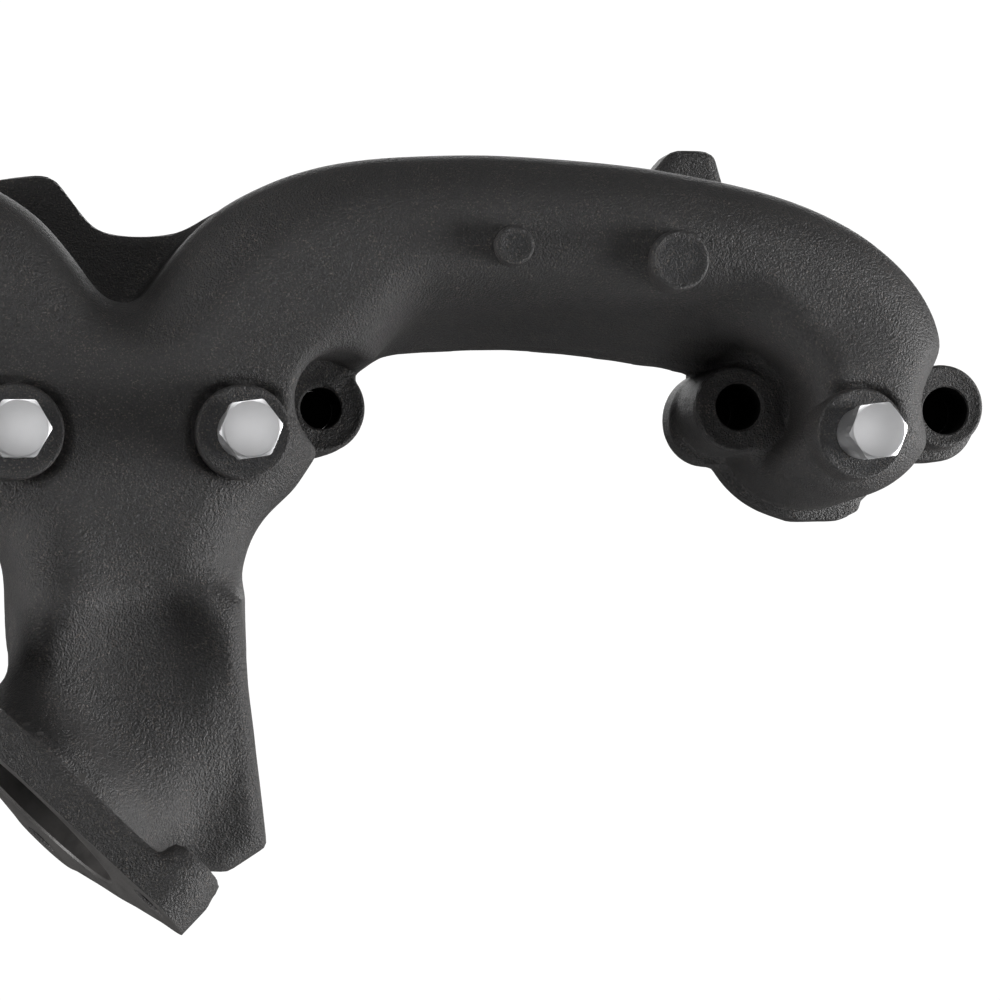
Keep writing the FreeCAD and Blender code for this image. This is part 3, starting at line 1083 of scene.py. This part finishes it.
    def hollow(self, x: Array, y: Array, z: Array) -> Array:
        """Gas passages: the body less its wall, kept clear of every bolt.

        Args:
            x, y, z: the points.

        Returns:
            The distance field of the air inside.
        """
        depth, ax = -y, np.abs(x)
        air = self.main_wall(x, depth, z) + self.wall
        air = smooth_max(air, self.outlet_wall - self.outlet_places(x, depth, z)[2], 1)
        air = smooth_max(air, self.spare_iron - self.scoop(x, depth, z), 3)
        for centre, half in self.PORTS:
            u = np.abs(ax - centre) - half + self.PORT_CORNER
            w = np.abs(z) - half + self.PORT_CORNER
            port = (np.minimum(np.maximum(u, w), 0)
                    + np.hypot(np.maximum(u, 0), np.maximum(w, 0)) - self.PORT_CORNER)
            air = smooth_min(air, slab(port, depth, 26, -6, 3, 0.5), 3)
        for bolt in self.places.bolts:
            hole = np.hypot(ax - bolt.x, z) - (bolt.hole_radius + self.spare_iron)
            air = smooth_max(air, -smooth_max(hole, depth - bolt.lug_front - 1, 2), 4)
            well = self.pocket(bolt, ax, depth, z) - self.pocket_wall
            room = smooth_max(well, bolt.lug_front - self.spare_iron - depth, 2)
            air = smooth_max(air, -room, 3)
        return air

    def rounds(self) -> list[tuple[float, float, float, float]]:
        """Every plug boss, raised disc and bolt lug.

        Returns:
            x, z, radius and front of each.
        """
        found = [(px, pz, self.boss_radius, self.boss_front) for px, pz in self.plug_places]
        for cx, cz, r in self.DISCS:
            found += [(-cx, cz, r, self.disc_front), (cx, cz, r, self.disc_front)]
        found += [(side * bolt.lug_centre[0], bolt.lug_centre[1], bolt.lug_radius - 0.2,
                   bolt.lug_front) for bolt, side in self.places.bolt_spots()]
        return found

    def bosses(self) -> Piece:
        """Turn the round bosses, with a soft rim and a slightly dished face.

        Returns:
            The bosses as one object.
        """
        shapes = []
        for cx, cz, r, front in self.rounds():
            arc = [(r - 0.9 + 0.9 * math.cos(a), front - 0.9 + 0.9 * math.sin(a))
                   for a in np.linspace(0, math.pi / 2, 6)]
            profile = [(r + 0.25, front - 12), *arc, (r - 1.9, front - 0.25),
                       (r - 2.6, front - 0.35), (r * 0.4, front - 0.35)]
            shapes.append(lathe(profile, TO_FRONT, Vector((cx, 0, cz)), 96))
        return join_shapes("bosses", *shapes)

    def cutters(self) -> list[Piece]:
        """Make the closed cutters for passages, bore, faces and holes.

        Returns:
            The cutters in the order they are used.
        """
        p, holes = self.places, []
        for bolt, side in p.bolt_spots():
            r, front = bolt.hole_radius, bolt.lug_front
            holes.append(lathe([(r + 0.6, -6), (r + 0.6, 0), (r, 0.7), (r, front - 0.8),
                                (r + 0.7, front), (r + 0.7, 70)],
                               TO_FRONT, Vector((side * bolt.x, 0, 0))))
        r = p.stud_radius
        holes += [lathe([(r + 0.5, -6), (r + 0.5, 0), (r, 0.6), (r, self.stud_depth)],
                        -p.outward, p.stud(angle), 48) for angle in p.stud_angles()]
        r = self.plug_hole_radius
        holes += [lathe([(r, -18), (r, 16)], TO_FRONT,
                        Vector((px, -self.boss_front + 10.8, pz)))
                  for px, pz in self.plug_places]
        r = p.bore_radius
        bore = lathe([(r + 0.5, -9), (r + 0.5, 0), (r, 0.6), (r, self.bore_depth)],
                     -p.outward, p.outlet, 128)
        gasket_plane = lathe([(420, 0), (420, 30)], TO_HEAD, Vector(), 4)
        outlet_plane = lathe([(90, 0), (90, 30)], p.outward, p.outlet, 4)
        return [mesh_object("passages", *surface_net(self.hollow, *self.HOLLOW_BOX,
                                                     self.inner_step)),
                join_shapes("bore", bore), join_shapes("gasket_plane", gasket_plane),
                join_shapes("outlet_plane", outlet_plane), join_shapes("holes", *holes)]

    def build(self) -> Piece:
        """Make the casting's closed mesh.

        Returns:
            The casting, ready for its finishes.
        """
        self.prepare()
        points, quads = surface_net(self.outer, *self.OUTER_BOX, self.outer_step)
        casting = mesh_object("casting_body", points, quads)
        log.info("outer form: %d quads", len(quads))
        machine(casting, self.bosses(), Shop.ADD)
        for cutter in self.cutters():
            machine(casting, cutter)
        self.dress(casting)
        log.info("casting: %d faces", len(casting.data.polygons))
        return casting

    def dress(self, casting: Piece) -> None:
        """Give the casting its finishes and shading.

        Args:
            casting: the drilled casting.
        """
        data = casting.data
        data.materials.clear()
        for finish in (CoatedIronFinish(), FacedIronFinish(), BOSS_FACE, PAINTED_HOLE_SHADE):
            data.materials.append(finish.material())
        count = len(data.polygons)
        centre, normal = np.empty(count * 3, np.float32), np.empty(count * 3, np.float32)
        data.polygons.foreach_get("center", centre)
        data.polygons.foreach_get("normal", normal)
        x, y, z = centre.reshape(-1, 3).T.astype(float) / MM
        normal = normal.reshape(-1, 3)
        along, front, inwards = self.outlet_places(x, -y, z)
        faced = (np.abs(inwards) < 0.05) & (normal @ np.array(self.places.outward) > 0.99)
        faced |= (np.abs(y) < 0.05) & (normal[:, 1] > 0.99)
        faced |= ((np.hypot(along, front) < self.places.bore_radius + 0.8)
                  & (inwards > -0.1) & (inwards < self.bore_depth + 0.1))
        boss = np.any([np.hypot(x - cx, z - cz) < r for cx, cz, r, _ in self.rounds()], 0)
        boss &= (normal[:, 1] < -0.985) & (y < 1 - self.disc_front)
        # the bolt-hole walls take the near-black painted shade finish
        drilled = np.any([(np.hypot(np.abs(x) - b.x, z) - b.hole_radius < 0.15)
                          & (y > 0.3 - b.lug_front) for b in self.places.bolts], 0)
        slots = np.select([faced, boss, drilled],
                          [Slot.FACED.value, Slot.BOSS_FACE.value, Slot.PAINTED_HOLE_SHADE.value],
                          Slot.COATED.value)
        data.polygons.foreach_set("material_index", slots.astype(np.int32))
        data.shade_smooth()
        data.set_sharp_from_angle(angle=math.radians(38))


# --- the plugs
@dataclass
class PortPlug:
    """A pipe plug: threaded shank, smooth neck and a chamfered hexagon head."""

    name: str
    node: str
    turn: float
    seat: float = -62.6
    neck_radius: float = 6.85
    across_flats: float = 14.3
    head: float = 4.8
    pitch: float = 1.41
    thread_depth: float = 0.55

    def build(self) -> Piece:
        """Make the plug where its CAD node is.

        Returns:
            The plug.
        """
        low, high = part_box(self.node)
        cx, cz = (low.x + high.x) / 2 / MM, (low.z + high.z) / 2 / MM
        inner, outer = high.y / MM, low.y / MM
        shank = self.shank(cx, cz, inner, outer + self.head)
        head = self.hexagon(cx, cz, outer)
        plug = join_shapes(self.name, shank)
        machine(plug, head, Shop.ADD)
        plug.data.materials.clear()
        axis_at = Vector((cx, outer, cz)) * MM
        plug.data.materials.append(TurnedSteelFinish().material(self.name + "_steel", axis_at))
        plug.data.shade_smooth()
        plug.data.set_sharp_from_angle(angle=math.radians(26))
        return plug

    def shank(self, cx: float, cz: float, inner: float, outer: float) -> Shape:
        """Threaded and smooth shank along the plug's axis.

        Args:
            cx: the axis's x.
            cz: the axis's z.
            inner, outer: y of the inner end and of the end inside the head.

        Returns:
            Vertices and faces.
        """
        segments, steps = 72, 132
        vertices = []
        ends = [inner, inner] + [inner + (outer - inner) * (i / steps) for i in range(1, steps)]
        ends += [outer, outer]
        for row, y in enumerate(ends):
            for k in range(segments):
                share = k / segments
                phase = ((y - inner) / self.pitch + share) % 1.0
                deep = self.thread_depth * (1 - abs(2 * phase - 1)) ** 0.8
                deep *= min(1.0, max(0.0, (y - self.seat - 0.9) / 1.2))
                lead = max(0.0, 1.0 - (inner - y))
                radius = self.neck_radius - deep - lead * 0.9
                if row == 0 or row == len(ends) - 1:
                    radius *= 0.45
                angle = math.tau * share
                vertices.append(Vector((cx + radius * math.cos(angle), y,
                                        cz + radius * math.sin(angle))))
        return vertices, ring_faces(len(ends), segments)

    def hexagon(self, cx: float, cz: float, outer: float) -> Piece:
        """Hexagon head with softened arrises and a turned chamfer on its face.

        Args:
            cx, cz: where the axis is.
            outer: y of the head's face.

        Returns:
            The head.
        """
        corner = self.across_flats / math.sqrt(3)
        edge = 0.35
        ring = []
        for i in range(6):
            here = math.radians(60 * i + self.turn)
            tip = Vector((math.cos(here), 0.0, math.sin(here))) * corner
            for offset in (-1, 1):
                other = math.radians(60 * (i + offset) + self.turn)
                beside = Vector((math.cos(other), 0.0, math.sin(other))) * corner
                ring.append(tip + (beside - tip).normalized() * edge)
        vertices = []
        for inset, y in ((0.3, outer + self.head), (0.0, outer + self.head - 0.3),
                         (0.0, outer)):
            for spot in ring:
                spoke = spot * (1 - inset / corner)
                vertices.append(Vector((cx + spoke.x, y, cz + spoke.z)))
        head = join_shapes(self.name + "_head", (vertices, ring_faces(3, len(ring))))
        flat = self.across_flats / 2
        cone = lathe([(flat - 0.25, 0.0), (flat - 0.05, 0.06), (flat + 0.6, 0.42),
                      (flat + 5.0, 3.0), (flat + 5.0, 9.0)],
                     TO_HEAD, Vector((cx, outer, cz)), 144)
        machine(head, join_shapes("chamfer", cone), Shop.KEEP_COMMON)
        return head


# --- the studio
@dataclass
class Studio:
    """Pale floor, soft lights and the camera."""

    camera_at: tuple[float, float, float] = (-81.0, -884.7, -54.4)
    yaw: float = 0.212
    pitch: float = 0.033
    roll: float = -0.009
    lens: float = 116.24
    sensor: float = 36.0
    floor_height: float = -700.0
    floor_reach: float = 500.0
    surround_low: float = 0.02
    surround_high: float = 0.20
    background: float = 1.05

    AIM = Vector((0.0, -0.03, -0.02))
    SOFT_BOXES = (("left_box", (-1.5, -0.22, -0.05), (0.6, 1.0), 31.0),
                  ("right_box", (1.5, -0.20, -0.30), (0.6, 0.8), 40.0),
                  ("top_box", (0.1, -0.9, 1.4), (1.4, 0.7), 6.0),
                  ("back_box", (0.5, 1.9, 0.6), (1.4, 1.0), 16.0),
                  ("front_box", (0.30, -2.2, 0.05), (1.3, 0.9), 2.6))

    def camera(self) -> None:
        """Place the camera."""
        ahead = Vector((math.sin(self.yaw) * math.cos(self.pitch),
                        math.cos(self.yaw) * math.cos(self.pitch), math.sin(self.pitch)))
        level = Vector((math.cos(self.yaw), -math.sin(self.yaw), 0.0))
        above = level.cross(ahead)
        c, s = math.cos(self.roll), math.sin(self.roll)
        right, up = level * c + above * s, above * c - level * s
        data = bpy.data.cameras.new("studio_camera")
        data.lens, data.sensor_width = self.lens, self.sensor
        data.clip_start, data.clip_end = 0.01, 100.0
        made = bpy.data.objects.new("studio_camera", data)
        turn = Matrix((right, up, -ahead)).transposed()
        made.matrix_world = Matrix.Translation(Vector(self.camera_at) * MM) @ turn.to_4x4()
        bpy.context.scene.collection.objects.link(made)
        bpy.context.scene.camera = made

    def soft_light(self, name: str, at: tuple[float, float, float],
                   size: tuple[float, float], power: float) -> None:
        """Add one soft box that faces the object.

        Args:
            name: the light's name.
            at: its place in metres.
            size: its width and height in metres.
            power: its power in watts.
        """
        data = bpy.data.lights.new(name, "AREA")
        data.shape, data.size, data.size_y, data.energy = "RECTANGLE", *size, power
        made = bpy.data.objects.new(name, data)
        made.location = at
        made.rotation_euler = (self.AIM - Vector(at)).to_track_quat("-Z", "Y").to_euler()
        bpy.context.scene.collection.objects.link(made)

    def lights(self) -> None:
        """Hang the soft boxes and set the pale surround."""
        for box in self.SOFT_BOXES:
            self.soft_light(*box)
        surround = ShaderBench("pale_surround", world=True)
        direction = surround.node("ShaderNodeTexCoord", {}).outputs["Generated"]
        height = surround.node("ShaderNodeSeparateXYZ", {0: direction}).outputs["Z"]
        lift = Signal(surround, height).step_between(-0.7, 0.5)
        seen = surround.node("ShaderNodeLightPath", {}).outputs["Is Camera Ray"]
        shade = lift * (self.surround_high - self.surround_low) + self.surround_low
        strength = shade + Signal(surround, seen) * (self.background - shade)
        sky = surround.node("ShaderNodeBackground",
                            {"Color": (1.0, 1.0, 1.0), "Strength": strength})
        surround.node("ShaderNodeOutputWorld", {"Surface": sky.outputs[0]})
        bpy.context.scene.world = surround.owner
        bpy.context.scene.view_settings.view_transform = "Standard"

    def floor(self) -> None:
        """Lay the pale floor, well below the object."""
        reach, height = self.floor_reach, self.floor_height
        corners = [(x * reach, y * reach, height)
                   for x, y in ((-1, -1), (1, -1), (1, 1), (-1, 1))]
        floor = mesh_object("floor", np.array(corners), [[0, 1, 2, 3]])
        floor.data.materials.append(PALE_FLOOR.material())
        floor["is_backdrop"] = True

    def shade_cards(self, places: Places) -> None:
        """Stand a black card inside the head end of each bolt hole, as painted shade that keeps
        the holes dark.

        Args:
            places: where the bolt holes are.
        """
        shapes = []
        for bolt, side in places.bolt_spots():
            r = bolt.hole_radius - 0.05
            shapes.append(lathe([(r, 0.0), (r, 0.6)], TO_FRONT,
                                Vector((side * bolt.x, -0.8, 0.0)), 48))
        shade_cards = join_shapes("painted_hole_shade_cards", *shapes)
        shade_cards.data.materials.append(HOLE_SHADE_CARD.material())
        shade_cards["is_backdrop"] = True


PLUGS = (("left_outer", -7.5), ("left_inner", 0.0), ("right_inner", 7.7),
         ("right_outer", 7.5))


def main() -> None:
    """Build every piece, put it on its body and set up the studio."""
    logging.basicConfig(level=logging.INFO, format="%(name)s %(message)s")
    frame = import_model()
    places = Places.from_record(frame["record"])
    plug_places = []
    for place, _ in PLUGS:
        low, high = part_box("port_plug_" + place)
        plug_places.append(((low.x + high.x) / 2 / MM, (low.z + high.z) / 2 / MM))
    casting = Casting(places, plug_places).build()
    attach(casting, "casting")
    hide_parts("manifold_casting")
    for place, turn in PLUGS:
        plug = PortPlug("pipe_plug_" + place, "port_plug_" + place, turn).build()
        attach(plug, "plug_" + place)
        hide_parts("port_plug_" + place)
        log.info("%s: %d faces", plug.name, len(plug.data.polygons))
    studio = Studio()
    studio.camera()
    studio.lights()
    studio.floor()
    studio.shade_cards(places)
    low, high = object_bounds()


if __name__ == "__main__":
    main()
